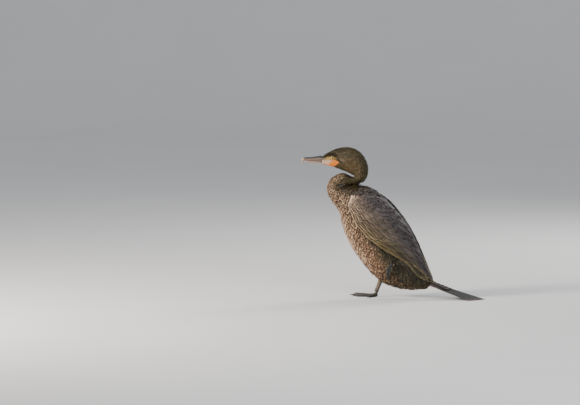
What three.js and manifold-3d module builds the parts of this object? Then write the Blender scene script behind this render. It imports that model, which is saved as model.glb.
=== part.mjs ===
// A life-size great cormorant standing on one foot with the other drawn up, propped on its tail.
// Millimetres, +Z up. The bird faces -X, and its left side faces -Y.
import * as THREE from "three";
import { mergeVertices } from "three/addons/utils/BufferGeometryUtils.js";
import Module from "manifold-3d";

const wasm = await Module();
wasm.setup();

// Driving sizes.
const GAP = 0.3;
const RING_SIDES = 22;
const EYE_RADIUS = 6.4;
const EYE_AT = { x: -126, y: 11.2, z: 390 };
const TAIL_FEATHERS = 12;
const TAIL_LENGTH = 152;
const TAIL_ROOT = { x: 155.6, z: 41, wide: 11 };
const TAIL_SLOPE = THREE.MathUtils.degToRad(16.2);
const TAIL_FAN = THREE.MathUtils.degToRad(15);
const TAIL_DROOP = 0.12;
const VANE_THICK = 1.5;
const WING_LENGTH = 330;

// The body is one loft. Each station is a slice seen from the side: its front end, its back end,
// its half width, and how far the widest place moves towards the back.
const HEAD = [
  { front: [-160, 371.5], back: [-156, 395.5], wide: 10.5, lean: 0 },
  { front: [-141, 366], back: [-140, 405], wide: 13.6, lean: 0 },
  { front: [-122, 361.5], back: [-118, 415], wide: 16.4, lean: 0 },
  { front: [-105, 355.5], back: [-93, 419.5], wide: 19, lean: 0 },
  { front: [-90, 350.5], back: [-68, 416], wide: 20.6, lean: 0 },
  { front: [-79, 345.5], back: [-47, 402], wide: 21.2, lean: 0 },
  { front: [-71, 341], back: [-34, 382], wide: 21.2, lean: 0 },
  { front: [-67, 338], back: [-29.5, 360], wide: 20.8, lean: 0 },
];
const NECK_UPPER = [
  { front: [-68.5, 335.5], back: [-31, 341], wide: 20.2, lean: 0 },
  { front: [-74, 336.5], back: [-42, 322.5], wide: 19.4, lean: 0 },
  { front: [-84, 341], back: [-60, 319], wide: 19, lean: 0 },
  { front: [-98, 347], back: [-77, 317], wide: 19.4, lean: 0 },
];
const NECK_LOWER = [
  { front: [-116, 343.5], back: [-88, 314.5], wide: 21, lean: 0 },
  { front: [-133, 333], back: [-93.5, 312.5], wide: 23, lean: 0 },
  { front: [-143.5, 319], back: [-95.5, 310.5], wide: 25, lean: 0.04 },
  { front: [-147, 303], back: [-95.5, 308.5], wide: 27.5, lean: 0.06 },
];
const TORSO = [
  { front: [-144, 287], back: [-89, 309], wide: 31, lean: 0.08 },
  { front: [-134, 269], back: [-72, 313], wide: 37, lean: 0.1 },
  { front: [-120, 252], back: [-52, 315], wide: 44, lean: 0.12 },
  { front: [-110, 234], back: [-30, 311], wide: 50, lean: 0.12 },
  { front: [-106, 214], back: [-6, 300], wide: 55, lean: 0.12 },
  { front: [-100, 192], back: [18, 282], wide: 58, lean: 0.1 },
  { front: [-91, 168], back: [42, 257], wide: 60, lean: 0.08 },
  { front: [-79, 143], back: [65, 228], wide: 60, lean: 0.05 },
  { front: [-60, 117], back: [86, 197], wide: 58, lean: 0.02 },
  { front: [-40, 90], back: [104, 165], wide: 54, lean: 0 },
  { front: [-16, 63], back: [119, 133], wide: 48, lean: 0 },
  { front: [14, 40], back: [132, 102], wide: 40, lean: 0 },
  { front: [54, 26], back: [143, 76], wide: 31, lean: 0 },
  { front: [98, 22], back: [150, 60], wide: 22, lean: 0 },
  { front: [138, 26], back: [155, 48], wide: 13, lean: 0 },
];
const STATIONS = [...HEAD, ...NECK_UPPER, ...NECK_LOWER, ...TORSO];

const FRONT_LINE = lineThrough(STATIONS.map((s) => [s.front[0], 0, s.front[1]]));
const BACK_LINE = lineThrough(STATIONS.map((s) => [s.back[0], 0, s.back[1]]));
const WIDTH_LINE = lineThrough(STATIONS.map((s) => [s.wide, s.lean, 0]));

function lineThrough(points) {
  const knots = points.map((p) => new THREE.Vector3(...p));
  return new THREE.CatmullRomCurve3(knots, false, "centripetal");
}

function vec(x, y, z) {
  return new THREE.Vector3(x, y, z);
}

// The station number where each length of the body starts, as a share of the whole loft.
const LAST = STATIONS.length - 1;
const NECK_START = (HEAD.length - 0.5) / LAST;
const NECK_SPLIT = (HEAD.length + NECK_UPPER.length - 0.5) / LAST;
const TORSO_START = (HEAD.length + NECK_UPPER.length + NECK_LOWER.length - 0.5) / LAST;

function slice(u, grow = 0) {
  const front = FRONT_LINE.getPoint(u);
  const back = BACK_LINE.getPoint(u);
  const [wide, lean] = WIDTH_LINE.getPoint(u).toArray();
  const centre = front.clone().lerp(back, 0.5);
  const out = back.clone().sub(front);
  const high = out.length() / 2 + grow;
  out.normalize();
  const along = vec(0, 1, 0).cross(out).normalize();
  return { centre, out, along, high, wide: wide + grow, lean };
}

// A point of the body's surface: u runs from the bill to the tail, and turn runs round the slice,
// from 0 at the back over the left side to half a turn at the belly.
function bodyPoint(u, turn, grow = 0) {
  const s = slice(u, grow);
  const angle = turn * Math.PI * 2;
  const side = -Math.sin(angle) * s.wide * (1 + s.lean * Math.cos(angle));
  return s.centre.clone().addScaledVector(s.out, s.high * Math.cos(angle)).add(vec(0, side, 0));
}

function bodyNormal(u, turn) {
  const step = 0.004;
  const along = bodyPoint(Math.min(1, u + step), turn).sub(bodyPoint(Math.max(0, u - step), turn));
  const round = bodyPoint(u, turn + step).sub(bodyPoint(u, turn - step));
  return round.cross(along).normalize();
}

// A closed mesh from rings of points, with a fan over each end.
function loft(rings) {
  const sides = rings[0].length;
  const position = rings.flat().flatMap((p) => p.toArray());
  const index = [];
  for (let i = 0; i + 1 < rings.length; i += 1) {
    for (let j = 0; j < sides; j += 1) {
      const a = i * sides + j;
      const b = i * sides + ((j + 1) % sides);
      index.push(a, a + sides, b, b, a + sides, b + sides);
    }
  }
  [0, rings.length - 1].forEach((ring, end) => {
    const middle = rings[ring].reduce((sum, p) => sum.add(p), vec(0, 0, 0)).divideScalar(sides);
    const hub = position.push(...middle.toArray()) / 3 - 1;
    for (let j = 0; j < sides; j += 1) {
      const a = ring * sides + j;
      const b = ring * sides + ((j + 1) % sides);
      index.push(...(end ? [hub, b, a] : [hub, a, b]));
    }
  });
  const made = new THREE.BufferGeometry();
  made.setAttribute("position", new THREE.Float32BufferAttribute(position, 3));
  return made.setIndex(index);
}

// The manifold-3d solid of a closed geometry, turned so that its faces point out.
function solid(geometry) {
  const bare = geometry.clone();
  Object.keys(bare.attributes)
    .filter((name) => name !== "position")
    .forEach((name) => bare.deleteAttribute(name));
  const merged = mergeVertices(bare, 1e-4);
  const make = (triVerts) =>
    new wasm.Manifold(
      new wasm.Mesh({ numProp: 3, vertProperties: merged.attributes.position.array, triVerts }),
    );
  const faces = new Uint32Array(merged.index.array);
  const made = make(faces);
  if (made.volume() > 0) return made;
  for (let i = 0; i < faces.length; i += 3) [faces[i], faces[i + 1]] = [faces[i + 1], faces[i]];
  return make(faces);
}

function largest(made) {
  const bodies = made.decompose().sort((a, b) => b.volume() - a.volume());
  return bodies[0];
}

// A solid cut back from its neighbour, with the gap that touching pieces keep.
function clearOf(made, neighbour) {
  const shifts = [-GAP, GAP].flatMap((d) => [[d, 0, 0], [0, d, 0], [0, 0, d]]);
  return shifts.reduce((left, shift) => left.subtract(neighbour.translate(shift)), made);
}

function joined(solids) {
  return solids.reduce((sum, one) => sum.add(one));
}

function geometryOf(made) {
  const mesh = made.getMesh();
  const stride = mesh.numProp;
  const position = new Float32Array(mesh.numVert * 3);
  for (let i = 0; i < mesh.numVert; i += 1) {
    position.set(mesh.vertProperties.subarray(i * stride, i * stride + 3), i * 3);
  }
  const geometry = new THREE.BufferGeometry();
  geometry.setAttribute("position", new THREE.BufferAttribute(position, 3));
  geometry.setIndex(new THREE.BufferAttribute(mesh.triVerts, 1));
  return geometry;
}

// A length of the body between two places, pulled in at an end that meets a neighbour.
function bodyLength(from, to, rings, { trimStart = 0, trimEnd = 0, grow = 0 } = {}) {
  const made = [];
  for (let i = 0; i <= rings; i += 1) {
    const u = from + ((to - from) * i) / rings;
    const ring = [];
    for (let j = 0; j < RING_SIDES; j += 1) ring.push(bodyPoint(u, j / RING_SIDES, grow));
    const shift = (i === 0 ? trimStart : 0) - (i === rings ? trimEnd : 0);
    ring.forEach((p) => p.addScaledVector(slice(u).along, shift));
    made.push(ring);
  }
  return loft(made);
}

// A tube of oval slices. Each station has its place, half height and half width; up sets the height.
function limb(stations, { sides = 10, up = vec(0, 0, 1), steps = 3 } = {}) {
  const path = lineThrough(stations.map((s) => s.at));
  const sizes = lineThrough(stations.map((s) => [s.high, s.wide, 0]));
  const count = (stations.length - 1) * steps;
  const rings = [];
  for (let i = 0; i <= count; i += 1) {
    const centre = path.getPoint(i / count);
    const [high, wide] = sizes.getPoint(i / count).toArray();
    const ahead = path.getPoint(Math.min(1, i / count + 0.01));
    const behind = path.getPoint(Math.max(0, i / count - 0.01));
    const along = ahead.sub(behind).normalize();
    const across = up.clone().cross(along).normalize();
    const high0 = along.clone().cross(across).normalize();
    const ring = [];
    for (let j = 0; j < sides; j += 1) {
      const angle = (j / sides) * Math.PI * 2;
      ring.push(
        centre
          .clone()
          .addScaledVector(high0, Math.cos(angle) * high)
          .addScaledVector(across, Math.sin(angle) * wide),
      );
    }
    rings.push(ring);
  }
  return loft(rings);
}

function ball(radius, at, detail = 2) {
  return new THREE.IcosahedronGeometry(radius, detail).translate(...at);
}

// Head, with its eye sockets, lids, mouth line and the bare pouch below it.
function headLoft(grow = 0) {
  return solid(bodyLength(0, NECK_START, 15, { trimEnd: GAP / 2, grow }));
}

function pouchRegion(grow) {
  const outline = new THREE.Shape();
  outline.moveTo(-164 - grow, 360 - grow);
  outline.lineTo(-164 - grow, 380 + grow);
  outline.lineTo(-140, 379.5 + grow);
  outline.lineTo(-114.5 + grow, 381 + grow);
  outline.lineTo(-108 + grow, 375);
  outline.lineTo(-117 + grow, 357 - grow);
  outline.lineTo(-140, 355 - grow);
  const block = new THREE.ExtrudeGeometry(outline, { depth: 60, bevelEnabled: false });
  return solid(block.rotateX(Math.PI / 2).translate(0, 30, 0));
}

function eyeSocket(side) {
  return solid(ball(EYE_RADIUS + GAP, [EYE_AT.x, side * EYE_AT.y, EYE_AT.z], 2));
}

function lidRing(side) {
  const ring = new THREE.TorusGeometry(EYE_RADIUS * 0.86, 1.5, 5, 14);
  ring.rotateX(Math.PI / 2).rotateZ(-side * 0.16);
  return solid(ring.translate(EYE_AT.x, side * (EYE_AT.y + 3.1), EYE_AT.z));
}

function brow(side) {
  const y = side * 14.4;
  return solid(
    limb(
      [
        { at: [-142, side * 12.4, 394.5], high: 1.2, wide: 1.6 },
        { at: [-133, y, 398.5], high: 2, wide: 2.4 },
        { at: [-122, side * 16, 397.5], high: 2, wide: 2.6 },
        { at: [-111, side * 17.4, 391], high: 1.4, wide: 2 },
      ],
      { sides: 6, steps: 2 },
    ),
  );
}

function mouthCut() {
  const slit = new THREE.Shape();
  slit.moveTo(-162, 380.4);
  slit.lineTo(-140, 379.9);
  slit.lineTo(-114, 381.4);
  slit.lineTo(-114, 380.8);
  slit.lineTo(-140, 379.2);
  slit.lineTo(-162, 379.6);
  const plate = new THREE.ExtrudeGeometry(slit, { depth: 60, bevelEnabled: false });
  const both = solid(plate.rotateX(Math.PI / 2).translate(0, 30, 0));
  return both.subtract(headLoft(-2.4));
}

function makeHead() {
  const sides = [-1, 1];
  const whole = joined([headLoft(), ...sides.map(lidRing), ...sides.map(brow)]);
  return largest(
    [pouchRegion(GAP), mouthCut(), ...sides.map(eyeSocket)].reduce((sum, cut) => sum.subtract(cut), whole),
  );
}

function makePouch() {
  return largest(headLoft().intersect(pouchRegion(0)));
}

// Bill: both halves start at the head's front slice.
const BILL_START = -160.2 - GAP;

function makeBillUpper() {
  return solid(
    limb(
      [
        { at: [BILL_START, 0, 388], high: 7.4, wide: 8.8 },
        { at: [-176, 0, 386.6], high: 6.2, wide: 7.2 },
        { at: [-192, 0, 385.2], high: 5, wide: 6 },
        { at: [-205, 0, 385], high: 4.6, wide: 5.4 },
        { at: [-213.5, 0, 383], high: 4.4, wide: 4.6 },
        { at: [-217.2, 0, 377], high: 3, wide: 3 },
        { at: [-217, 0, 370.6], high: 1, wide: 0.9 },
      ],
      { sides: 12, up: vec(0.35, 0, 1) },
    ),
  );
}

function makeBillLower() {
  return solid(
    limb(
      [
        { at: [BILL_START, 0, 376.6], high: 3.7, wide: 8.6 },
        { at: [-176, 0, 377], high: 3, wide: 6.8 },
        { at: [-192, 0, 377.4], high: 2.6, wide: 5.6 },
        { at: [-204, 0, 377.3], high: 2.2, wide: 4.6 },
        { at: [-210.5, 0, 376.8], high: 1.1, wide: 2.4 },
      ],
      { sides: 12 },
    ),
  );
}

// Wings lie on the body. Each place on one is a share s from shoulder to tip and t from the back edge
// to the lower edge, which these two edges give as places on the body's loft.
const WING_BACK_EDGE = lineThrough([
  [20.2, 0.11, 0],
  [21.6, 0.05, 0],
  [24, 0.03, 0],
  [27, 0.03, 0],
  [29.4, 0.04, 0],
  [29.95, 0.1, 0],
]);
const WING_LOW_EDGE = lineThrough([
  [18.7, 0.2, 0],
  [19.4, 0.275, 0],
  [21.4, 0.295, 0],
  [23.2, 0.275, 0],
  [24.1, 0.25, 0],
  [25.2, 0.212, 0],
  [26.4, 0.172, 0],
  [27.6, 0.165, 0],
  [28.8, 0.175, 0],
  [29.95, 0.16, 0],
]);

function wingPoint(side, share, t, lift) {
  const s = Math.min(1, share);
  const at = WING_BACK_EDGE.getPoint(s).lerp(WING_LOW_EDGE.getPoint(s), t);
  const u = Math.min(1, at.x / LAST);
  const turn = side < 0 ? at.y : 1 - at.y;
  const beyond = vec(Math.cos(TAIL_SLOPE), 0, -Math.sin(TAIL_SLOPE)).multiplyScalar((share - s) * WING_LENGTH);
  return bodyPoint(u, turn).addScaledVector(bodyNormal(u, turn), lift).add(beyond);
}

// The bed that the wing's feathers grow from: it is thin at its rim and follows the body.
const BED_CLEAR = 1.2;

function wingBed(side) {
  const along = 12;
  const across = 8;
  const rings = [];
  for (let i = 0; i <= along; i += 1) {
    const s = 0.95 * (i / along);
    const full = 2.6 + 2.8 * Math.sin(Math.PI * Math.min(1, 0.15 + s * 0.9));
    const top = [];
    const bottom = [];
    for (let j = 0; j <= across; j += 1) {
      const rim = Math.sqrt(Math.max(0, 1 - Math.pow((2 * j) / across - 1, 4)));
      top.push(wingPoint(side, s, j / across, 1.5 + (full - 1.5) * rim));
      bottom.unshift(wingPoint(side, s, j / across, BED_CLEAR));
    }
    rings.push([...top, ...bottom]);
  }
  return solid(loft(rings));
}

// One feather: a slab along a line of places, wide in its middle and rounded to a tip. Its place
// function takes a share of its length, an offset across in millimetres and a height.
const VANE_RINGS = [
  { share: 0, wide: 0.7 },
  { share: 0.5, wide: 1 },
  { share: 0.84, wide: 0.78 },
  { share: 1, wide: 0.2 },
];

function vane(place, wide, thick) {
  const rings = VANE_RINGS.map((ring) => {
    const half = (wide / 2) * ring.wide;
    const deep = thick * (1 - 0.4 * ring.share);
    return [
      place(ring.share, -half, deep * 0.3),
      place(ring.share, 0, deep * 0.8),
      place(ring.share, half, deep * 0.3),
      place(ring.share, half, -deep * 0.3),
      place(ring.share, -half, -deep * 0.3),
    ];
  });
  return solid(loft(rings));
}

// Rows of wing feathers from the shoulder to the tip. Each row has its count, the shares of the wing
// where its feathers start and end, the band across the wing that it fills, and its tips' height.
const WING_ROWS = [
  { count: 4, from: 0.02, to: 0.19, low: 0.08, high: 0.95, lift: 8.2 },
  { count: 6, from: 0.1, to: 0.33, low: 0.04, high: 0.98, lift: 8.4 },
  { count: 6, from: 0.22, to: 0.48, low: 0.04, high: 0.98, lift: 8.2 },
  { count: 6, from: 0.35, to: 0.64, low: 0.04, high: 0.98, lift: 7.4 },
  { count: 6, from: 0.48, to: 0.8, low: 0.04, high: 0.98, lift: 6.2 },
  { count: 5, from: 0.62, to: 0.93, low: 0.06, high: 0.96, lift: 5 },
  { count: 4, from: 0.76, to: 1.03, low: 0.12, high: 0.94, lift: 3.9 },
];
const WING_VANE_THICK = 1.6;
const VANE_TILT = 2.2;
const ROOT_LIFT = 2;

function wingVane(side, row, i) {
  const t = row.low + ((row.high - row.low) * (i + 0.5)) / row.count;
  const middle = (row.from + row.to) / 2;
  const across = wingPoint(side, middle, 1, 0).distanceTo(wingPoint(side, middle, 0, 0));
  const wide = ((across * (row.high - row.low)) / row.count) * 1.4;
  const end = row.to - 0.025 * (1 + Math.cos(i * 2.4));
  const place = (along, offset, height) => {
    const s = row.from + (end - row.from) * along;
    const rise = (row.lift - ROOT_LIFT) * (1 - Math.pow(1 - along, 2));
    const lift = ROOT_LIFT + rise + height + (offset / wide) * VANE_TILT * along;
    return wingPoint(side, s, THREE.MathUtils.clamp(t + offset / across, 0, 1), lift);
  };
  return vane(place, wide, WING_VANE_THICK);
}

function torsoCut() {
  return solid(bodyLength(TORSO_START - 0.02, 1, 36, { grow: GAP + 0.1 }));
}

function makeWing(side) {
  const vanes = WING_ROWS.flatMap((row) => Array.from({ length: row.count }, (_, i) => wingVane(side, row, i)));
  return largest(joined([wingBed(side), ...vanes]));
}

// Tail: a fan of stiff feathers that leaves the rump, spreads and comes down to the floor. The middle
// pair lies on top, and short coverts lie over the roots.
function tailPoint(along, spread, offset, lift) {
  const angle = spread * TAIL_FAN;
  const y = spread * TAIL_ROOT.wide + along * Math.sin(angle) + offset * Math.cos(angle);
  const out = along * Math.cos(angle) - offset * Math.sin(angle);
  const droop = TAIL_DROOP * Math.abs(y);
  return vec(
    TAIL_ROOT.x + out * Math.cos(TAIL_SLOPE) + lift * Math.sin(TAIL_SLOPE),
    y,
    TAIL_ROOT.z - out * Math.sin(TAIL_SLOPE) + lift * Math.cos(TAIL_SLOPE) - droop,
  );
}

function tailBed() {
  const rings = [0, 0.3, 0.65, 1].map((share) => {
    const thick = 9 - 5.5 * share;
    const top = [];
    const bottom = [];
    for (let j = 0; j <= 4; j += 1) {
      top.push(tailPoint(share * 62, j / 2 - 1, 0, thick / 2));
      bottom.unshift(tailPoint(share * 62, j / 2 - 1, 0, -thick / 2));
    }
    return [...top, ...bottom];
  });
  return solid(loft(rings));
}

function tailVane(spread, long, wide, lift) {
  const place = (share, offset, height) => tailPoint(3 + share * (long - 3), spread, offset, lift + height);
  return vane(place, wide, VANE_THICK);
}

function makeTail() {
  const half = TAIL_FEATHERS / 2;
  const parts = [tailBed()];
  for (let i = 0; i < TAIL_FEATHERS; i += 1) {
    const rank = Math.abs(i - half + 0.5) - 0.5;
    const spread = (i - half + 0.5) / (half - 0.5);
    parts.push(tailVane(spread, TAIL_LENGTH - 5.5 * rank, 17, 2.4 - 1.05 * rank));
  }
  for (let i = 0; i < 5; i += 1) {
    const spread = i / 2 - 1;
    parts.push(tailVane(spread * 0.8, 56 - 9 * Math.abs(spread), 19, 4.6 - 1.6 * Math.abs(spread)));
  }
  return largest(joined(parts).subtract(floorBlock()));
}

function floorBlock() {
  return solid(new THREE.BoxGeometry(900, 600, 100).translate(0, 0, -50));
}

// Legs and feet. All four toes of a cormorant are joined by webs. Both feet are built flat, as
// places along and across the foot; one lies on the floor and the other against the flank.
const TOES = [
  { turn: -80, long: 36 },
  { turn: -28, long: 58 },
  { turn: 0, long: 76 },
  { turn: 24, long: 88 },
];
const STAND = { x: -8, y: 8, turn: 14 };
const CLAW_LONG = 10;
const WEB_THICK = 1.4;

// The floor foot: a place at a share of a toe's length, at a height.
function floorPlace(toe, reach, height) {
  const angle = THREE.MathUtils.degToRad(toe.turn + STAND.turn);
  return vec(STAND.x - Math.cos(angle) * reach, STAND.y + Math.sin(angle) * reach, height);
}

// The tucked foot: closed up, it hangs down the flank just below the wing.
const TUCK = { u: 25.95, turn: 0.252, alongU: 0.85, alongTurn: 0.1, spreadU: 0.6, lift: 3.2 };

function tuckedPlace(toe, reach, height) {
  const share = reach / 88;
  const spread = Math.sin(THREE.MathUtils.degToRad(toe.turn * 0.55)) * share * (1.25 - share);
  const u = (TUCK.u + TUCK.alongU * share + TUCK.spreadU * spread) / LAST;
  const turn = TUCK.turn + TUCK.alongTurn * share - 0.05 * spread;
  return bodyPoint(u, turn).addScaledVector(bodyNormal(u, turn), TUCK.lift + height - 2);
}

function toeSolid(place, toe, up) {
  const end = toe.long - CLAW_LONG * 0.4;
  const stations = [0, 0.3, 0.62, 1].map((share) => {
    const high = 4.4 - 1.5 * share;
    const rise = share === 0 ? 2.4 : 0;
    return { at: place(toe, end * share, high - 0.5 + rise).toArray(), high, wide: 4.1 - 1.2 * share };
  });
  return solid(limb(stations, { sides: 8, steps: 2, up }));
}

function webSolid(place, a, b) {
  const rows = [];
  const steps = 5;
  for (let i = 0; i <= steps; i += 1) {
    const share = i / steps;
    const toe = { turn: a.turn + (b.turn - a.turn) * share };
    const sag = 1 - 0.5 * Math.sin(Math.PI * share) * Math.abs(b.turn - a.turn) * 0.018;
    const long = (a.long + (b.long - a.long) * share - CLAW_LONG * 0.55) * sag;
    rows.push([0.06, 0.36, 0.68, 1].map((out) => [toe, long * out]));
  }
  const rings = rows.map((row) => [
    ...row.map(([toe, reach]) => place(toe, reach, WEB_THICK)),
    ...row.toReversed().map(([toe, reach]) => place(toe, reach, 0)),
  ]);
  return solid(loft(rings));
}

function footSolid(place, up) {
  const parts = TOES.map((toe) => toeSolid(place, toe, up));
  for (let i = 0; i + 1 < TOES.length; i += 1) parts.push(webSolid(place, TOES[i], TOES[i + 1]));
  parts.push(solid(ball(6.6, place(TOES[2], 0, 6.4).toArray(), 1)));
  return joined(parts);
}

function clawSolid(place, toe, up, clawUp) {
  const start = toe.long - CLAW_LONG * 0.4 + GAP;
  const spots = [
    [0, 3, 1.9],
    [0.5, 3.6, 1.6],
    [1, 0.9, 0.5],
  ];
  const stations = spots.map(([share, height, thick]) => ({
    at: place(toe, start + CLAW_LONG * share, height * clawUp).toArray(),
    high: thick,
    wide: thick * 0.8,
  }));
  return solid(limb(stations, { sides: 6, steps: 1, up }));
}

function makeLegRight() {
  const { x, y } = STAND;
  const shank = limb(
    [
      { at: [x + 1, y, 13.4], high: 6.4, wide: 4.6 },
      { at: [x + 6, y, 26], high: 6, wide: 4.4 },
      { at: [x + 12, y + 1, 42], high: 7, wide: 5.4 },
      { at: [x + 22, y + 2, 62], high: 13, wide: 12 },
    ],
    { sides: 10, up: vec(1, 0, 0) },
  );
  return largest(clearOf(solid(shank).subtract(torsoCut()), makeFootRight()));
}

function makeFootRight() {
  return largest(footSolid(floorPlace, vec(0, 0, 1)).subtract(floorBlock()));
}

// Outward direction of the flank behind the tucked foot.
const FLANK_OUT = bodyNormal((TUCK.u + 0.4) / LAST, TUCK.turn + 0.05);

function makeFootLeft() {
  return largest(footSolid(tuckedPlace, FLANK_OUT).subtract(torsoCut()));
}

function makeLegLeft() {
  const heel = tuckedPlace(TOES[2], 0, 6.4);
  const root = heel.clone().add(vec(-4, 34, 2));
  const shank = limb(
    [
      { at: heel.clone().add(vec(-0.5, 2, 0)).toArray(), high: 5.2, wide: 5 },
      { at: heel.clone().lerp(root, 0.5).toArray(), high: 6.6, wide: 6 },
      { at: root.toArray(), high: 8, wide: 8 },
    ],
    { sides: 6, steps: 2, up: vec(0, 0, 1) },
  );
  return largest(clearOf(solid(shank).subtract(torsoCut()), makeFootLeft()));
}

// Each made solid becomes one named mesh with the finish of its kind.
const FINISH = {
  plumage: { color: 0x4a3b2c, roughness: 0.75, metalness: 0 },
  wing: { color: 0x453a33, roughness: 0.6, metalness: 0 },
  tail: { color: 0x2b2726, roughness: 0.6, metalness: 0 },
  bare_skin: { color: 0xd98a1c, roughness: 0.5, metalness: 0 },
  horn: { color: 0x6b5a50, roughness: 0.4, metalness: 0 },
  eye: { color: 0x1f3a36, roughness: 0.08, metalness: 0 },
  leg: { color: 0x2c2b28, roughness: 0.55, metalness: 0 },
  claw: { color: 0x1b1816, roughness: 0.35, metalness: 0 },
};

const bird = new THREE.Group();
bird.name = "cormorant";

function addNode(name, finish, made) {
  const mesh = new THREE.Mesh(geometryOf(made), new THREE.MeshStandardMaterial(FINISH[finish]));
  mesh.name = name;
  bird.add(mesh);
}

addNode("head", "plumage", makeHead());
addNode("gular_pouch", "bare_skin", makePouch());
addNode("bill_upper", "horn", makeBillUpper());
addNode("bill_lower", "horn", makeBillLower());
[["left", -1], ["right", 1]].forEach(([word, side]) => {
  addNode("eye_" + word, "eye", solid(ball(EYE_RADIUS, [EYE_AT.x, side * EYE_AT.y, EYE_AT.z], 2)));
  addNode("wing_" + word, "wing", makeWing(side));
});
const TRIM = { trimStart: GAP / 2, trimEnd: GAP / 2 };
addNode("neck_upper", "plumage", solid(bodyLength(NECK_START, NECK_SPLIT, 10, TRIM)));
addNode("neck_lower", "plumage", solid(bodyLength(NECK_SPLIT, TORSO_START, 10, TRIM)));
addNode("torso", "plumage", solid(bodyLength(TORSO_START, 1, 31, { trimStart: GAP / 2 })));
addNode("tail", "tail", makeTail());
addNode("leg_right", "leg", makeLegRight());
addNode("foot_right", "leg", makeFootRight());
addNode("leg_left", "leg", makeLegLeft());
addNode("foot_left", "leg", makeFootLeft());
TOES.forEach((toe, i) => {
  const standing = clawSolid(floorPlace, toe, vec(0, 0, 1), 1).subtract(floorBlock());
  addNode("claw_right_" + (i + 1), "claw", largest(standing));
  const tucked = clawSolid(tuckedPlace, toe, FLANK_OUT, 1);
  addNode("claw_left_" + (i + 1), "claw", largest(clearOf(tucked.subtract(torsoCut()), makeFootLeft())));
});

// The origin lies on the floor below the middle of the whole model.
const middle = new THREE.Box3().setFromObject(bird).getCenter(vec(0, 0, 0));
bird.children.forEach((mesh) => mesh.geometry.translate(-middle.x, -middle.y, 0));

export default bird;
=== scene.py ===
"""Looks of the great cormorant: one skin, a coat of real feathers, bill, eyes, feet and studio.

Lengths are metres. Body places are also given in millimetres from the point of the floor below the
middle of the body, with x towards the tail and z up, which body() turns into the frame's metres.
A station is a place along SPINE, counted in its rows. A turn is a place round the body, from 0 at the
back to 1 at the belly.
"""
import math

import bmesh
import bpy
import numpy as np
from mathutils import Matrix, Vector
from mathutils.bvhtree import BVHTree


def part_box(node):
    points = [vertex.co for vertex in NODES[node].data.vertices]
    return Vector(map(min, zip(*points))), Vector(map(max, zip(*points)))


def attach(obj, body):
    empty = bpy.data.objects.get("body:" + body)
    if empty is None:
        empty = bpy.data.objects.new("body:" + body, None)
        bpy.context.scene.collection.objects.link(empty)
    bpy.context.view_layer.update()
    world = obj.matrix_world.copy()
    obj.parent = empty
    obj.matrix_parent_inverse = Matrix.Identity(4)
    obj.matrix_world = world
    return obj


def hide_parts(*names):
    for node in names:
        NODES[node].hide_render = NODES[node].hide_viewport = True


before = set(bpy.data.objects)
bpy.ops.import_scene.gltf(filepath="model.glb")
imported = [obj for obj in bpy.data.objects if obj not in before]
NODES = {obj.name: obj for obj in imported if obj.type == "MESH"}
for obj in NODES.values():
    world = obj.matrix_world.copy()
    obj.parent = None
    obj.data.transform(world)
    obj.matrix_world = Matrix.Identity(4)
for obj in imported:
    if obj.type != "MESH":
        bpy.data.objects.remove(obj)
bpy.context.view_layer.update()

RNG = np.random.default_rng(7)
# The middle of an eye in millimetres of the body: along, out to its side, and up.
EYE_PLACE = (-126, 11.2, 390)


def node_box(name):
    low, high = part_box(name)
    return np.array(low), np.array(high)


EYE_LOW, EYE_HIGH = node_box("eye_left")
SHIFT = (EYE_LOW[0] + EYE_HIGH[0]) / 2 - EYE_PLACE[0] / 1000


def body(x, y, z):
    """A place given in millimetres of the body, in the frame's metres."""
    return np.array([x / 1000 + SHIFT, y / 1000, z / 1000])


def to_body(points):
    """The frame's metres as millimetres of the body."""
    return (points - np.array([SHIFT, 0, 0])) * 1000


def srgb(r, g, b):
    """A linear colour from the 0 to 255 values of a screen colour."""
    c = np.array([r, g, b]) / 255
    return np.where(c <= 0.04045, c / 12.92, ((c + 0.055) / 1.055) ** 2.4)


def unit(v):
    return v / np.maximum(np.linalg.norm(v, axis=-1, keepdims=True), 1e-12)


def smooth(edge0, edge1, x):
    t = np.clip((x - edge0) / (edge1 - edge0), 0, 1)
    return t * t * (3 - 2 * t)


def hump(distance, width):
    """1 at no distance, falling softly to about a third at the width."""
    return np.exp(-(distance / width) ** 2)


def blend(a, b, t):
    """From a to b by the shares t; a and b are one colour or a colour for each share."""
    return a + (b - a) * t[:, None]


# The middle line of the bird from the bill's root over the folded neck to the rump: each place has
# its x and z, and the half height and half width of the body there.
SPINE = np.array([
    (-160, 383, 12, 10), (-140, 386, 19, 14), (-118, 388, 27, 16), (-97, 388, 33, 19),
    (-78, 382, 34, 21), (-63, 372, 33, 21), (-53, 361, 26, 21), (-49, 349, 20, 21),
    (-49, 339, 20, 20), (-58, 330, 18, 19), (-73, 330, 17, 19), (-90, 331, 17, 19),
    (-103, 328, 19, 21), (-115, 321, 23, 23), (-120, 312, 26, 25), (-121, 305.7, 26, 27.5),
    (-116.5, 298, 29.6, 31), (-103, 291, 38, 37), (-86, 283.5, 46.4, 44), (-70, 272.5, 55.5, 50),
    (-56, 257, 66, 55), (-41, 237, 74.2, 58), (-24.5, 212.5, 80, 60), (-7, 185.5, 83.6, 60),
    (13, 157, 83.3, 58), (32, 127.5, 81.2, 54), (51.5, 98, 76, 48), (73, 71, 66.7, 40),
    (98.5, 51, 51, 31), (124, 41, 32.2, 22), (146.5, 37, 13.9, 13),
])
LAST = len(SPINE) - 1


def spine_at(station):
    """The four columns of SPINE at any stations."""
    return [np.interp(station, np.arange(LAST + 1), SPINE[:, c]) for c in range(4)]


SPINE_STEP = np.linspace(0, LAST, 400)
SPINE_FINE = np.stack(spine_at(SPINE_STEP), 1)
# Places measured against the line at a time, to spare memory.
BATCH = 4000
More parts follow.
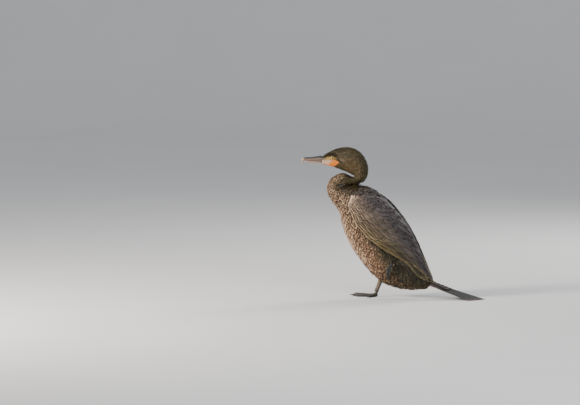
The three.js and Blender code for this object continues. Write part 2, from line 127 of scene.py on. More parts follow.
# The torso's cross-sections start at this station and lean by these angles.
TORSO_START = 16
BODY_TILT = np.radians([
    21.8, 31.4, 42.8, 43.9, 40.7, 37.3, 33.8, 30.6, 28.7, 27.5, 27.4, 27.7, 28.8, 36.2, 52.3,
])
# The wings' lower edge on the body: station and turn.
WING_LOW_EDGE = np.array([
    (18.7, 0.4), (19.4, 0.55), (21.4, 0.59), (23.2, 0.55), (24.1, 0.5), (25.2, 0.424), (26.4, 0.344),
    (27.6, 0.33), (28.8, 0.35), (29.95, 0.32),
])


def along_body(points):
    """For each place its station, the body's direction there, and its turn."""
    p = to_body(points)
    mid = np.stack([SPINE_FINE[:, 0], np.zeros(len(SPINE_FINE)), SPINE_FINE[:, 1]], 1)
    ahead = unit(np.gradient(mid, axis=0))
    near = np.concatenate([
        (np.linalg.norm(part[:, None] - mid[None], axis=2) / SPINE_FINE[:, 2]).argmin(1)
        for part in np.array_split(p, len(p) // BATCH + 1)
    ])
    up = np.cross(ahead[near], np.array([0, 1.0, 0]))
    out = p - mid[near]
    turn = np.arctan2(np.abs(out[:, 1]), (out * up).sum(1)) / math.pi
    return SPINE_STEP[near], ahead[near], turn


def station_of(points):
    return along_body(points)[0]


def new_object(name, mesh):
    obj = bpy.data.objects.new(name, mesh)
    bpy.context.scene.collection.objects.link(obj)
    return obj


def mesh_of(name, draft):
    mesh = bpy.data.meshes.new(name)
    draft.to_mesh(mesh)
    draft.free()
    return mesh


def mesh_from(name, verts, faces):
    mesh = bpy.data.meshes.new(name)
    mesh.from_pydata(verts.reshape(-1, 3).tolist(), [], faces.tolist())
    return mesh


def draft_of(node_names):
    """A draft that holds the solids of the nodes named."""
    draft = bmesh.new()
    for name in node_names:
        draft.from_mesh(NODES[name].data)
    return draft


def add_voxels(obj, size):
    remesh = obj.modifiers.new("voxels", "REMESH")
    remesh.mode = "VOXEL"
    remesh.voxel_size = size


def add_relax(obj, factor, rounds):
    relax = obj.modifiers.new("relax", "SMOOTH")
    relax.factor, relax.iterations = factor, rounds


def bake_modifiers(obj):
    graph = bpy.context.evaluated_depsgraph_get()
    made = bpy.data.meshes.new_from_object(obj.evaluated_get(graph))
    obj.modifiers.clear()
    obj.data = made


def mesh_arrays(mesh):
    co = np.empty(len(mesh.vertices) * 3)
    mesh.vertices.foreach_get("co", co)
    normal = np.empty(len(mesh.vertices) * 3)
    mesh.vertices.foreach_get("normal", normal)
    return co.reshape(-1, 3), normal.reshape(-1, 3)


def set_points(mesh, co):
    mesh.vertices.foreach_set("co", co.astype(np.float32).ravel())
    mesh.update()


def tree_of(mesh):
    return BVHTree.FromPolygons([v.co for v in mesh.vertices], [tuple(f.vertices) for f in mesh.polygons])


def shade_smooth(obj):
    obj.data.polygons.foreach_set("use_smooth", [True] * len(obj.data.polygons))


def set_colours(mesh, **layers):
    """Colour attributes: each value is one colour, or one for each vertex."""
    for name, value in layers.items():
        layer = mesh.attributes.new(name, "FLOAT_COLOR", "POINT")
        data = np.ones((len(mesh.vertices), 4), np.float32)
        data[:, :3] = value
        layer.data.foreach_set("color", data.ravel())


def set_uv(mesh, **layers):
    """UV maps: each value has one place for each vertex."""
    loops = np.empty(len(mesh.loops), np.int32)
    mesh.loops.foreach_get("vertex_index", loops)
    for name, uv in layers.items():
        layer = mesh.uv_layers.new(name=name)
        layer.data.foreach_set("uv", uv[loops].astype(np.float32).ravel())


def grid_quads(corner):
    """The four-sided faces between the rows and columns of a grid of vertex numbers."""
    sides = [corner[:-1, :-1], corner[:-1, 1:], corner[1:, 1:], corner[1:, :-1]]
    return np.stack(sides, -1).reshape(-1, 4)


# Materials


def nodes_of(name, roughness, specular=0.5):
    material = bpy.data.materials.new(name)
    material.use_nodes = True
    tree = material.node_tree
    shader = tree.nodes["Principled BSDF"]
    shader.inputs["Roughness"].default_value = roughness
    shader.inputs["Specular IOR Level"].default_value = specular
    return material, tree, shader


def node(tree, kind, **values):
    made = tree.nodes.new(kind)
    for key, value in values.items():
        if key in made.inputs:
            made.inputs[key].default_value = value
        else:
            setattr(made, key, value)
    return made


def feed(tree, socket, value):
    """Feeds a socket from another socket or with a plain value."""
    if isinstance(value, bpy.types.NodeSocket):
        tree.links.new(value, socket)
    else:
        socket.default_value = value


def mix(tree, a, b, factor, blend_type="MIX"):
    """A colour mix; a, b and factor are sockets or plain values."""
    made = node(tree, "ShaderNodeMix", data_type="RGBA", blend_type=blend_type)
    feed(tree, made.inputs[0], factor)
    for socket, colour in ((made.inputs[6], a), (made.inputs[7], b)):
        feed(tree, socket, (*colour, 1) if isinstance(colour, tuple) else colour)
    return made.outputs[2]


def maths(tree, operation, *values):
    made = node(tree, "ShaderNodeMath", operation=operation)
    for socket, value in zip(made.inputs, values):
        feed(tree, socket, value)
    return made.outputs[0]


def ramp(tree, value, low, high):
    made = node(tree, "ShaderNodeMapRange", interpolation_type="SMOOTHSTEP",
                **{"From Min": low, "From Max": high})
    tree.links.new(value, made.inputs["Value"])
    return made.outputs[0]


def bump(tree, shader, height, strength, distance):
    made = node(tree, "ShaderNodeBump", Strength=strength, Distance=distance)
    tree.links.new(height, made.inputs["Height"])
    tree.links.new(made.outputs[0], shader.inputs["Normal"])


def noise_of(tree, scale, detail, source, stretch=None):
    made = node(tree, "ShaderNodeTexNoise", Scale=scale, Detail=detail)
    if stretch is not None:
        mapping = node(tree, "ShaderNodeMapping", Scale=stretch)
        tree.links.new(source, mapping.inputs["Vector"])
        source = mapping.outputs[0]
    tree.links.new(source, made.inputs["Vector"])
    return made.outputs[0]


def attribute(tree, name):
    return node(tree, "ShaderNodeAttribute", attribute_name=name).outputs["Color"]


def object_place(tree):
    return node(tree, "ShaderNodeTexCoord").outputs["Object"]


def shaded(tree, colour, dark, light, grain):
    """A colour darkened and lightened by a grain."""
    return mix(tree, colour, mix(tree, dark, light, grain), 1.0, "MULTIPLY")


def feather_material(name, roughness, barbs, rim_inner, rim_outer, shaft, tip_rim=1.0, side_rim=1.0):
    """Vanes: colour of each feather from its own attributes, a rim, a shaft and fine slanting barbs."""
    material, tree, shader = nodes_of(name, roughness, 0.18)
    uv = node(tree, "ShaderNodeUVMap", uv_map="Vane").outputs[0]
    split = node(tree, "ShaderNodeSeparateXYZ")
    tree.links.new(uv, split.inputs[0])
    across = maths(tree, "ABSOLUTE", maths(tree, "SUBTRACT", split.outputs[0], 0.5))
    along = split.outputs[1]
    flow = node(tree, "ShaderNodeCombineXYZ")
    tree.links.new(maths(tree, "SUBTRACT", along, maths(tree, "MULTIPLY", across, 0.9)), flow.inputs[0])
    tree.links.new(maths(tree, "MULTIPLY", across, 0.25), flow.inputs[1])
    fine = noise_of(tree, barbs, 3.0, flow.outputs[0])
    wobble = noise_of(tree, 9.0, 2.0, uv)
    tip = maths(tree, "MULTIPLY", maths(tree, "SUBTRACT", along, 0.5), tip_rim)
    far = maths(tree, "MAXIMUM", maths(tree, "MULTIPLY", across, side_rim), tip)
    far = maths(tree, "ADD", far, maths(tree, "MULTIPLY", maths(tree, "SUBTRACT", wobble, 0.5), 0.26))
    edge = ramp(tree, far, rim_inner, rim_outer)
    colour = mix(tree, attribute(tree, "base"), attribute(tree, "rim"), edge)
    colour = shaded(tree, colour, (0.62, 0.62, 0.62), (1.32, 1.32, 1.32), fine)
    quill = maths(tree, "SUBTRACT", 1.0, ramp(tree, across, 0.008, 0.035))
    colour = mix(tree, colour, shaft, maths(tree, "MULTIPLY", quill, 0.55))
    tree.links.new(colour, shader.inputs["Base Color"])
    bump(tree, shader, maths(tree, "ADD", fine, maths(tree, "MULTIPLY", quill, 0.8)), 0.35, 0.0006)
    return material


def skin_material():
    """Bare skin with fine pores, coloured by its base attribute."""
    material, tree, shader = nodes_of("bird_skin", 0.5, 0.4)
    coords = object_place(tree)
    grain = noise_of(tree, 900.0, 5.0, coords)
    pores = node(tree, "ShaderNodeTexVoronoi", Scale=620.0)
    tree.links.new(coords, pores.inputs["Vector"])
    colour = shaded(tree, attribute(tree, "base"), (0.7, 0.68, 0.66), (1.25, 1.25, 1.22), grain)
    tree.links.new(colour, shader.inputs["Base Color"])
    bump(tree, shader, maths(tree, "ADD", pores.outputs["Distance"], grain), 0.5, 0.0008)
    return material


def painted_material(name, roughness, coat_weight, grain_scale, stretch, depth, plates=0.0):
    """A surface coloured by its base attribute, with grain in colour and relief, and small plates where
    plates is given.
    """
    material, tree, shader = nodes_of(name, roughness)
    shader.inputs["Coat Weight"].default_value = coat_weight
    coords = object_place(tree)
    grain = noise_of(tree, grain_scale, 5.0, coords, stretch)
    fine = noise_of(tree, grain_scale * 3.7, 3.0, coords, stretch)
    colour = shaded(tree, attribute(tree, "base"), (0.72, 0.71, 0.7), (1.26, 1.25, 1.24), grain)
    tree.links.new(colour, shader.inputs["Base Color"])
    height = maths(tree, "ADD", grain, maths(tree, "MULTIPLY", fine, 0.5))
    if plates:
        cells = node(tree, "ShaderNodeTexVoronoi", Scale=plates, feature="DISTANCE_TO_EDGE")
        tree.links.new(coords, cells.inputs["Vector"])
        groove = ramp(tree, cells.outputs["Distance"], 0.0, 0.1)
        height = maths(tree, "ADD", maths(tree, "MULTIPLY", height, 0.4), groove)
    bump(tree, shader, height, 0.5, depth)
    return material


# Markings of skin and coat

COLOURS = {name: srgb(*values) for name, values in {
    "crown": (60, 54, 38), "cheek": (80, 64, 38), "temple": (112, 98, 84),
    "stripe": (24, 20, 14), "stripe_rim": (34, 28, 20),
    "nape": (50, 45, 30), "nape_rim": (112, 96, 62),
    "breast": (74, 54, 40), "breast_rim": (232, 200, 164),
    "chest": (168, 132, 104), "chest_rim": (240, 218, 190),
    "belly": (86, 62, 46), "belly_rim": (190, 148, 112),
    "flank": (46, 43, 30), "flank_rim": (80, 72, 50),
    "mantle": (76, 69, 64), "mantle_rim": (38, 33, 31),
    # The shade pair is painted shadow, laid on the coat just below the wings.
    "shade": (28, 25, 18), "shade_rim": (48, 42, 32),
    # The fold pair is the olive-brown of the neck's side, and in the crease between neck and back it is
    # also painted shade.
    "fold": (46, 38, 20), "fold_rim": (84, 70, 40), "rump": (40, 36, 28),
    "lores": (190, 142, 12), "lores_front": (66, 54, 36), "lores_top": (52, 42, 28),
    "gape": (216, 116, 0), "gape_dark": (150, 74, 16), "gape_line": (44, 36, 24),
    "jaw": (192, 166, 140), "jaw_line": (92, 70, 52), "eyelid": (104, 82, 34),
}.items()}

# The face seen from the side, in x and z: outlines of the bare skin of pouch and lores, then lines.
POUCH_OUTLINE = np.array([
    (-168, 350), (-168, 384), (-150, 384), (-124, 387), (-108, 378), (-114, 371.5), (-124, 365.5),
    (-132, 362), (-140, 350),
])
LORES_OUTLINE = np.array([
    (-168, 380), (-168, 388), (-150, 389.5), (-141, 392.6), (-134, 395.8), (-127, 396), (-119, 391.5),
    (-114, 387), (-118, 383.5),
])
BROW = np.array([(-148, 392.5), (-138, 397.5), (-129, 400), (-119, 397)])
EYE_STRIPE = np.array([(-118, 388), (-111, 382.5), (-104, 376)])
LORES_TOP = np.array([(-150, 389), (-134, 394.5), (-118, 390)])
LORES_FOOT = np.array([(-166, 382.6), (-130, 384.6), (-110, 384)])
GAPE_LINE = np.array([(-166, 385), (-132, 385.5)])
JAW_LINE = np.array([(-166, 380.6), (-130, 381.5)])
POUCH_EDGE = np.array([(-160, 373.8), (-125, 363.8)])


def line_distance(line, x, z):
    """Distance in millimetres of places seen from the side from a drawn line."""
    best = np.full(len(x), 1e9)
    spot = np.stack([x, z], 1)
    for a, b in zip(line, line[1:]):
        share = np.clip(((spot - a) @ (b - a)) / ((b - a) @ (b - a)), 0, 1)
        best = np.minimum(best, np.linalg.norm(spot - a - share[:, None] * (b - a), axis=1))
    return best


def above(line, x, z):
    """Height in millimetres of places seen from the side above a drawn line."""
    return z - np.interp(x, line[:, 0], line[:, 1])


def inside(outline, x, z):
    hit = np.zeros(len(x), bool)
    for (x0, z0), (x1, z1) in zip(outline, np.roll(outline, -1, 0)):
        cross = (z0 > z) != (z1 > z)
        hit ^= cross & (x < (x1 - x0) * (z - z0) / ((z1 - z0) or 1e-9) + x0)
    return hit


def bare(points):
    x, _, z = to_body(points).T
    return inside(POUCH_OUTLINE, x, z) | inside(LORES_OUTLINE, x, z)


def wave3(p, scale, seed):
    """Soft seeded blotches from 0 to 1 over places in millimetres."""
    q = p / scale
    total = np.zeros(len(p))
    draw = np.random.default_rng(seed)
    for _ in range(7):
        k = draw.normal(size=3)
        total += np.sin(q @ k * 2.2 + draw.uniform(0, 6.28))
    return 0.5 + 0.5 * np.tanh(total / 2.2)


def crease_share(p):
    """How far places in millimetres lie in the closed fold between the neck and the back."""
    x, _, z = p.T
    return hump(z - 318, 9) * smooth(-104, -92, x) * (1 - smooth(-64, -54, x))


def laid(pair, base, rim, share, rim_share=None):
    """Base and rim colours of the coat, with another pair laid over them."""
    rim_share = share if rim_share is None else rim_share
    return blend(pair[0], base, share), blend(pair[1], rim, rim_share)


def head_markings(p, turn, blotch, fleck):
    """Brown head with a pale temple, and a dark stripe behind and above the eye."""
    c = COLOURS
    x, _, z = p.T
    base = blend(c["crown"], c["cheek"], smooth(0.2, 0.55, turn) * (0.4 + 0.6 * blotch))
    base = base * (0.45 + 0.75 * fleck)[:, None]
    rim = blend(base, c["nape_rim"], 0.3 + 0.5 * fleck)
    temple = hump(x + 103, 9) * hump(z - 384, 6) * (turn > 0.2)
    base = blend(base, c["temple"], temple * 0.7)
    stripe = hump(line_distance(EYE_STRIPE, x, z), 1.7)
    stripe = np.maximum(stripe, hump(line_distance(BROW, x, z), 1.6)) * (turn > 0.15)
    return laid((base, rim), c["stripe"], c["stripe_rim"], stripe)


def markings(points, station, turn):
    """Base colour and rim colour of the coat at each place."""
    c = COLOURS
    p = to_body(points)
    x, _, z = p.T
    blotch, large, fleck = wave3(p, 9, 3), wave3(p, 26, 5), wave3(p, 3.4, 13)
    pair = head_markings(p, turn, blotch, fleck)
    nape = smooth(5.5, 9, station)
    pair = laid(pair, c["nape"], c["nape_rim"], nape, nape * 0.35)
    throat = smooth(10.0, 12.5, station) * smooth(0.3, 0.6, turn)
    pair = laid(pair, c["breast"] * 0.8, c["breast_rim"], throat, throat * (0.6 + 0.4 * blotch))
    torso = smooth(14.5, 17.5, station)
    breast = torso * smooth(0.4, 0.62, turn)
    scaled = breast * (0.35 + 0.65 * blotch * (0.5 + 0.5 * large))
    pair = laid(pair, c["breast"], c["breast_rim"], breast, scaled)
    belly = smooth(19.5, 23, station) * smooth(0.5, 0.7, turn)
    brown = blend(c["belly"], c["breast"], large)
    pair = laid(pair, brown, c["belly_rim"], belly, belly * (0.5 + 0.5 * (1 - blotch)))
    chest = smooth(12.5, 15, station) * (1 - smooth(23, 26.5, station)) * smooth(0.74, 0.95, turn)
    pair = laid(pair, c["chest"], c["chest_rim"], chest * (0.35 + 0.65 * blotch), chest)
    back = torso * (1 - smooth(0.3, 0.46, turn + 0.14 * (blotch - 0.5)))
    pair = laid(pair, c["mantle"], c["mantle_rim"], back)
    flank = smooth(18.8, 21, station) * smooth(0.34, 0.44, turn) * (1 - smooth(0.56, 0.72, turn))
    pair = laid(pair, c["flank"], c["flank_rim"], flank * 0.92)
    # Painted shadow: the coat just below each wing's lower edge is darkened towards the shade colours, as
    # the wing's shadow on the body.
    wing_edge = np.interp(station, WING_LOW_EDGE[:, 0], WING_LOW_EDGE[:, 1])
    shade = hump(turn - wing_edge - 0.02, 0.045) * smooth(18.6, 19.6, station)
    pair = laid(pair, c["shade"], c["shade_rim"], shade * 0.9)
    # The fold colours are the neck side's own olive-brown, and in the closed fold between neck and back
    # they also darken the coat as painted shade in the crease.
    neck_side = smooth(-108, -98, x) * (1 - smooth(-66, -54, x)) * smooth(299, 307, z) * (station > 13)
    pair = laid(pair, c["fold"], c["fold_rim"], np.maximum(crease_share(p), neck_side))
    rump = smooth(24.5, 27, station)
    base, rim = laid(pair, c["rump"], c["flank_rim"], rump * (0.55 + 0.35 * blotch), rump * 0.75)
    return np.clip(base, 0, 1), np.clip(rim, 0, 1)


def face_colour(points):
    """Colour of the bare skin: yellow lores, and below them the whitish jaw and the orange pouch."""
    c = COLOURS
    p = to_body(points)
    x, _, z = p.T
    mottle = wave3(p, 2.2, 9)
    lores = blend(c["eyelid"], c["lores"], smooth(0.25, 0.8, mottle) * (1 - smooth(-134, -126, x)))
    lores = blend(lores, c["lores_front"], 1 - smooth(-153, -146, x))
    lores = blend(lores, c["lores_top"], smooth(-0.5, 3.0, above(LORES_TOP, x, z)))
    lores = blend(lores, c["gape_line"], 0.8 * hump(above(GAPE_LINE, x, z), 1.0))
    pouch = blend(c["jaw"], c["gape"], smooth(-4, 3, x + 134 + 0.9 * (376 - z)))
    pouch = blend(pouch, c["gape"], 0.9 * (1 - smooth(0.4, 2.6, above(POUCH_EDGE, x, z))))
    pouch = blend(pouch, c["gape_dark"], 0.45 * smooth(0.4, 0.9, mottle))
    pouch = blend(pouch, c["jaw_line"], 0.7 * hump(above(JAW_LINE, x, z), 0.9))
    return blend(pouch, lores, smooth(-0.6, 0.8, above(LORES_FOOT, x, z)))


# One skin for head, pouch, neck and torso, pulled in by the coat's depth

SKIN_NODES = ("head", "gular_pouch", "neck_upper", "neck_lower", "torso")
SKIN_VOXEL = 0.0016
CREASE_FILL = 0.0024
BROW_RISE = 0.0009
UNDER_COAT = 0.5
SOCKET_RADIUS, SOCKET_FLARE, SOCKET_REACH = 0.0054, 0.0024, 0.0095


def eye_axis(side):
    """The way an eye looks out."""
    return unit(np.array([-0.12, side, 0.02]))


def open_socket(co, side):
    """The skin's places, with those in front of one eye sunk below the eyeball."""
    middle = body(EYE_PLACE[0], side * EYE_PLACE[1], EYE_PLACE[2])
    ray = co - middle
    reach = np.linalg.norm(ray, axis=1)
    polar = np.degrees(np.arccos(np.clip(ray @ eye_axis(side) / reach, -1, 1)))
    wanted = SOCKET_RADIUS + SOCKET_FLARE * smooth(37, 54, polar)
    near = (reach < SOCKET_REACH) & (polar < 60)
    sunk = middle + ray / reach[:, None] * np.minimum(reach, wanted)[:, None]
    return np.where(near[:, None], sunk, co)


def make_skin():
    skin = new_object("skin", mesh_of("skin", draft_of(SKIN_NODES)))
    add_voxels(skin, SKIN_VOXEL)
    add_relax(skin, 0.6, 10)
    bake_modifiers(skin)
    co, normal = mesh_arrays(skin.data)
    station = station_of(co)
    p = to_body(co)
    depth = 0.0006 + 0.0012 * smooth(6, 14, station) + 0.0012 * smooth(16, 20, station)
    crease = crease_share(p)
    depth = depth * (1 - crease) - CREASE_FILL * crease
    depth = np.where(bare(co), 0.0, depth)
    brow = hump(line_distance(BROW, p[:, 0], p[:, 2]), 1.8) * (np.abs(p[:, 1]) > 7)
    co = co - normal * (depth - BROW_RISE * brow)[:, None]
    for side in (-1, 1):
        co = open_socket(co, side)
    set_points(skin.data, co)
    return skin


skin = make_skin()
skin_co, _ = mesh_arrays(skin.data)
station, _, turn = along_body(skin_co)
skin_base = markings(skin_co, station, turn)[0]
skin_base = np.where(bare(skin_co)[:, None], face_colour(skin_co), skin_base * UNDER_COAT)
set_colours(skin.data, base=skin_base)
SKIN_TREE = tree_of(skin.data)


def on_skin(points):
    """The nearest places of the skin and the directions out of it."""
    place = np.empty_like(points)
    normal = np.empty_like(points)
    for i, p in enumerate(points):
        hit, n, _, _ = SKIN_TREE.find_nearest(Vector(p))
        place[i], normal[i] = hit, n
    return place, normal


def unwrap(points):
    """Places on an unwrap of the body's own shape: down the body and round it."""
    station, _, turn = along_body(points)
    u = 0.02 + 0.96 * station / LAST
    v = 0.5 + np.sign(points[:, 1]) * turn * 0.48
    return np.stack([u, v], 1)


# Feathers

# Width of a vane along its length, and the size of a feather on the OFBake map.
VANE_WIDTH = np.array([(0, 0.42), (0.2, 0.8), (0.5, 1), (0.75, 0.9), (0.9, 0.62), (1, 0.16)])
PATCH = 0.003


def feathers(name, place, normal, wide, lift, base, rim, material, across=4, ragged=0.05,
             camber=0.1, tilt=0.0, profile=VANE_WIDTH, thick=0.0):
    """Vanes along paths of places with the directions out of the body. lift is the height at each place."""
    count, steps = place.shape[:2]
    step = across + 1
    share = np.linspace(0, 1, steps)
    forward = unit(np.gradient(place, axis=1))
    side = unit(np.cross(forward, normal))
    offset = np.linspace(-1, 1, step)
    half = np.interp(share, profile[:, 0], profile[:, 1])[None, :] * wide[:, None] / 2
    tear = 1 + ragged * RNG.normal(size=(count, steps, step))
    reach = RNG.normal(size=(count, step)) * ragged
    grid = place[:, :, None] + side[:, :, None] * (offset * half[:, :, None] * tear)[..., None]
    dome = lift[:, :, None] - camber * half[:, :, None] * offset ** 2 + tilt * offset * share[:, None]
    grid = grid + normal[:, :, None] * dome[..., None]
    length = np.linalg.norm(place[:, -1] - place[:, 0], axis=1)
    grid[:, -1] += forward[:, -1, None] * (reach * length[:, None])[..., None]
    per = steps * step
    quads = grid_quads(np.arange(per).reshape(steps, step))
    faces = (np.arange(count) * per)[:, None, None] + quads[None]
    mesh = mesh_from(name, grid, faces.reshape(-1, 4))
    set_colours(mesh, base=np.repeat(base, per, 0), rim=np.repeat(rim, per, 0))
    vane_u = np.tile(np.tile((offset + 1) / 2, steps), count)
    vane_v = np.tile(np.repeat(share, step), count)
    patch = np.repeat(unwrap(place[:, 0]), per, 0)
    patch = patch + (np.stack([vane_v, vane_u], 1) - 0.5) * PATCH
    set_uv(mesh, OFBake=patch, Vane=np.stack([vane_u, vane_v], 1))
    obj = new_object(name, mesh)
    obj.data.materials.append(material)
    if thick:
        solid = obj.modifiers.new("thickness", "SOLIDIFY")
        solid.thickness = thick
        solid.offset = -1
        bake_modifiers(obj)
    shade_smooth(obj)
    return obj


WING_TREES = [tree_of(NODES[name].data) for name in ("wing_left", "wing_right")]
WING_REACH = 0.0052
BILL_ROOT_X = -158


def under_wing(points):
    """Whether places of the skin lie right under a wing."""
    return np.array([
        any(tree.find_nearest(Vector(p), WING_REACH)[0] is not None for tree in WING_TREES)
        for p in points
    ])


def has_coat(points, first, last):
    """Whether places of the skin between two stations bear the coat."""
    station = station_of(points)
    kept = (station >= first) & (station < last) & ~bare(points) & (to_body(points)[:, 0] > BILL_ROOT_X)
    kept[kept] = ~under_wing(points[kept])
    return kept


def sprinkle(first, last, spacing_of):
    """Evenly scattered roots on the skin between two stations, spaced as spacing_of says."""
    skin.data.calc_loop_triangles()
    tris = np.empty(len(skin.data.loop_triangles) * 3, np.int32)
    skin.data.loop_triangles.foreach_get("vertices", tris)
    tris = tris.reshape(-1, 3)
    centre = skin_co[tris].mean(1)
    a, b, c = (skin_co[tris[:, i]] for i in range(3))
    area = np.linalg.norm(np.cross(b - a, c - a), axis=1) / 2
    ok = has_coat(centre, first, last)
    tris, centre, area = tris[ok], centre[ok], area[ok]
    spacing = spacing_of(centre)
    chance = area / spacing ** 2 * 5
    picks = np.repeat(np.arange(len(tris)), RNG.poisson(chance))
    RNG.shuffle(picks)
    weight = RNG.dirichlet((1, 1, 1), len(picks))
    spots = (skin_co[tris[picks]] * weight[..., None]).sum(1)
    gap = spacing[picks]
    cell = gap.max()
    kept = {}
    chosen = []
    for i, p in enumerate(spots):
        key = tuple((p // cell).astype(int))
        near = [j for dx in (-1, 0, 1) for dy in (-1, 0, 1) for dz in (-1, 0, 1)
                for j in kept.get((key[0] + dx, key[1] + dy, key[2] + dz), ())]
        if any(((spots[j] - p) ** 2).sum() < gap[i] ** 2 for j in near):
            continue
        kept.setdefault(key, []).append(i)
        chosen.append(i)
    return spots[chosen]


def coat(name, first, last, spacing_of, long_of, sizes, lift, material, rows, across):
    """A piece of the coat between two stations. sizes are a feather's length in what long_of gives and
    its width in spacings, and lift is the height of its root and tip."""
    roots = sprinkle(first, last, spacing_of)
    place, normal = on_skin(roots)
    station, lie, turn = along_body(place)
    flow = lie + RNG.normal(size=(len(roots), 3)) * 0.12
    flow = unit(flow - normal * (flow * normal).sum(1)[:, None])
    long = long_of(place) * sizes[0] * RNG.uniform(0.85, 1.15, len(roots))
    wide = spacing_of(place) * sizes[1] * RNG.uniform(0.88, 1.12, len(roots))
    base, rim = markings(place, station, turn)
    tone = RNG.uniform(0.7, 1.3, (len(roots), 1))
    rim = blend(base, rim, RNG.uniform(0.3, 1.0, len(roots)))
    share = np.linspace(0, 1, rows + 1)
    aim = roots[:, None] + (flow * long[:, None])[:, None] * share[None, :, None]
    path, out = on_skin(aim.reshape(-1, 3))
    tip_lift = lift[1] * RNG.uniform(0.6, 1.4, len(roots))
    heights = lift[0] + (tip_lift[:, None] - lift[0]) * share[None] ** 1.2
    return feathers(name, path.reshape(aim.shape), unit(out.reshape(aim.shape)), wide, heights,
                    base * tone, rim * tone, material, across=across)


def head_spacing(points):
    s = station_of(points)
    return 0.0014 + 0.0009 * smooth(0.8, 5, s) + 0.0013 * smooth(9, 13, s)


def head_long(points):
    s = station_of(points)
    return 0.004 + 0.0045 * smooth(0.5, 4, s) + 0.003 * smooth(9, 13, s)


def torso_spacing(points):
    s = station_of(points)
    return (0.004 + 0.0018 * smooth(16, 21, s)) * (1 - 0.5 * crease_share(to_body(points)))


NAPE, NECK, TORSO, COAT_END = 5.2, 11.5, 16.5, 29.5
ROOT_LIFT = -0.0002
plume_soft = feather_material("plume_soft", 0.62, 26.0, 0.3, 0.44, (0.05, 0.04, 0.03))
plume_scaly = feather_material("plume_scaly", 0.62, 34.0, 0.26, 0.47, (0.03, 0.025, 0.02), 1.0, 0.84)


def make_coat():
    head = (head_spacing, head_long)
    torso = (torso_spacing, torso_spacing)
    pieces = [
        coat("coat_head", 0, NAPE, *head, (1, 1.6), (ROOT_LIFT, 0.0015), plume_soft, 3, 2),
        coat("coat_nape", NAPE, NECK, *head, (1, 1.6), (ROOT_LIFT, 0.002), plume_soft, 3, 2),
        coat("coat_neck", NECK, TORSO, *head, (1.1, 2.08), (ROOT_LIFT, 0.0022), plume_scaly, 3, 4),
        coat("coat_torso", TORSO, COAT_END, *torso, (3.4, 2), (2 * ROOT_LIFT, 0.0036), plume_scaly, 5, 4),
    ]
    for piece in pieces:
        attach(piece, "root")


make_coat()

# Wings: feathers in rows over the flanks. A place on a wing is a share s of the way from shoulder to
# tip and a share t from the back edge to the lower edge. The edges are lists of station and turn.
WING_BACK_EDGE = np.array([
    (20.2, 0.22), (21.6, 0.1), (24, 0.06), (27, 0.06), (29.4, 0.08), (29.95, 0.2),
])
WING_LONG = 0.33
WING_RIM = 0.0012
TAIL_SLOPE = math.radians(16.2)
TAILWARD = np.array([math.cos(TAIL_SLOPE), 0, -math.sin(TAIL_SLOPE)])


def edge_at(edge, s):
    share = np.linspace(0, 1, len(edge))
    return np.stack([np.interp(s, share, edge[:, 0]), np.interp(s, share, edge[:, 1])], -1)


def body_surface(station, turn, side):
    """Places on the torso."""
    x, z, high, wide = spine_at(station)
    tilt = np.interp(station - TORSO_START, np.arange(len(BODY_TILT)), BODY_TILT)
    up = high * np.cos(turn * math.pi)
    return np.stack([
        (x + up * np.cos(tilt)) / 1000 + SHIFT,
        side * wide * np.sin(turn * math.pi) / 1000,
        (z + up * np.sin(tilt)) / 1000,
    ], -1)


def wing_surface(side, s, t):
    """Places of a wing on the torso. Past 1, s goes straight on towards the tail."""
    inner = np.minimum(s, 1)
    back, low = edge_at(WING_BACK_EDGE, inner), edge_at(WING_LOW_EDGE, inner)
    at = back * (1 - t)[..., None] + low * t[..., None]
    spot = body_surface(at[..., 0], at[..., 1], side)
    return spot + TAILWARD * ((s - inner) * WING_LONG)[..., None]


def wing_place(side, s, t):
    """Places and directions out of the body for the shares s and t of a wing."""
    step = 0.02
    inner, ahead = np.minimum(s, 1), np.minimum(s + step, 1)
    down = wing_surface(side, ahead, t) - wing_surface(side, ahead - 2 * step, t)
    over = wing_surface(side, inner, t + step) - wing_surface(side, inner, t - step)
    return wing_surface(side, s, t), unit(np.cross(down, over)) * side


def wing_height(s, t):
    """Height of the wing's top above the body's surface."""
    full = np.interp(s, [0, 0.08, 0.3, 0.6, 0.85, 1.05], [0.003, 0.0066, 0.0082, 0.0068, 0.0048, 0.0034])
    rim = np.sqrt(np.clip(1 - np.abs(2 * t - 1) ** 5, 0, 1))
    return WING_RIM + (full - WING_RIM) * (0.35 + 0.65 * rim)


def along_row(colour, count):
    """A row's one colour, or for two colours their blend along the row."""
    return blend(*colour, np.linspace(0, 1, count)) if isinstance(colour, tuple) else colour


def wing_row(side, count, root, tip, low, high, width, base, rim, material, rows, drop=0.0024, fan=0.0,
             order=0.0, tips=None, profile=VANE_WIDTH, stagger=0.007):
    """One row of wing feathers: along the wing from root to tip, across it from low to high. tips, where
    given, are the shares of the wing that the two ends of the row reach."""
    share = np.linspace(0, 1, rows + 1)
    t0 = low + (high - low) * (np.arange(count) + 0.5) / count
    t0 = t0 + RNG.normal(size=count) * 0.008
    ends = np.linspace(*(tips or (tip, tip)), count) + RNG.normal(size=count) * stagger
    starts = root + (ends - tip) * 0.6
    s = starts[:, None] + (ends - starts)[:, None] * share
    t = t0[:, None] + (fan * (t0 - 0.5))[:, None] * share ** 1.3
    t = np.clip(t, -0.1, 1.04)
    place, normal = wing_place(side, s, t)
    lift = wing_height(s, np.clip(t, 0, 1)) - drop * (1 - share) + order
    wide = width * RNG.uniform(0.94, 1.06, count)
    tone = RNG.uniform(0.66, 1.34, (count, 1))
    return feathers("row", place, normal, wide, lift, along_row(base, count) * tone,
                    along_row(rim, count) * tone, material, across=6, ragged=0.02, camber=0.12,
                    tilt=-side * 0.0007, profile=profile, thick=0.0003)


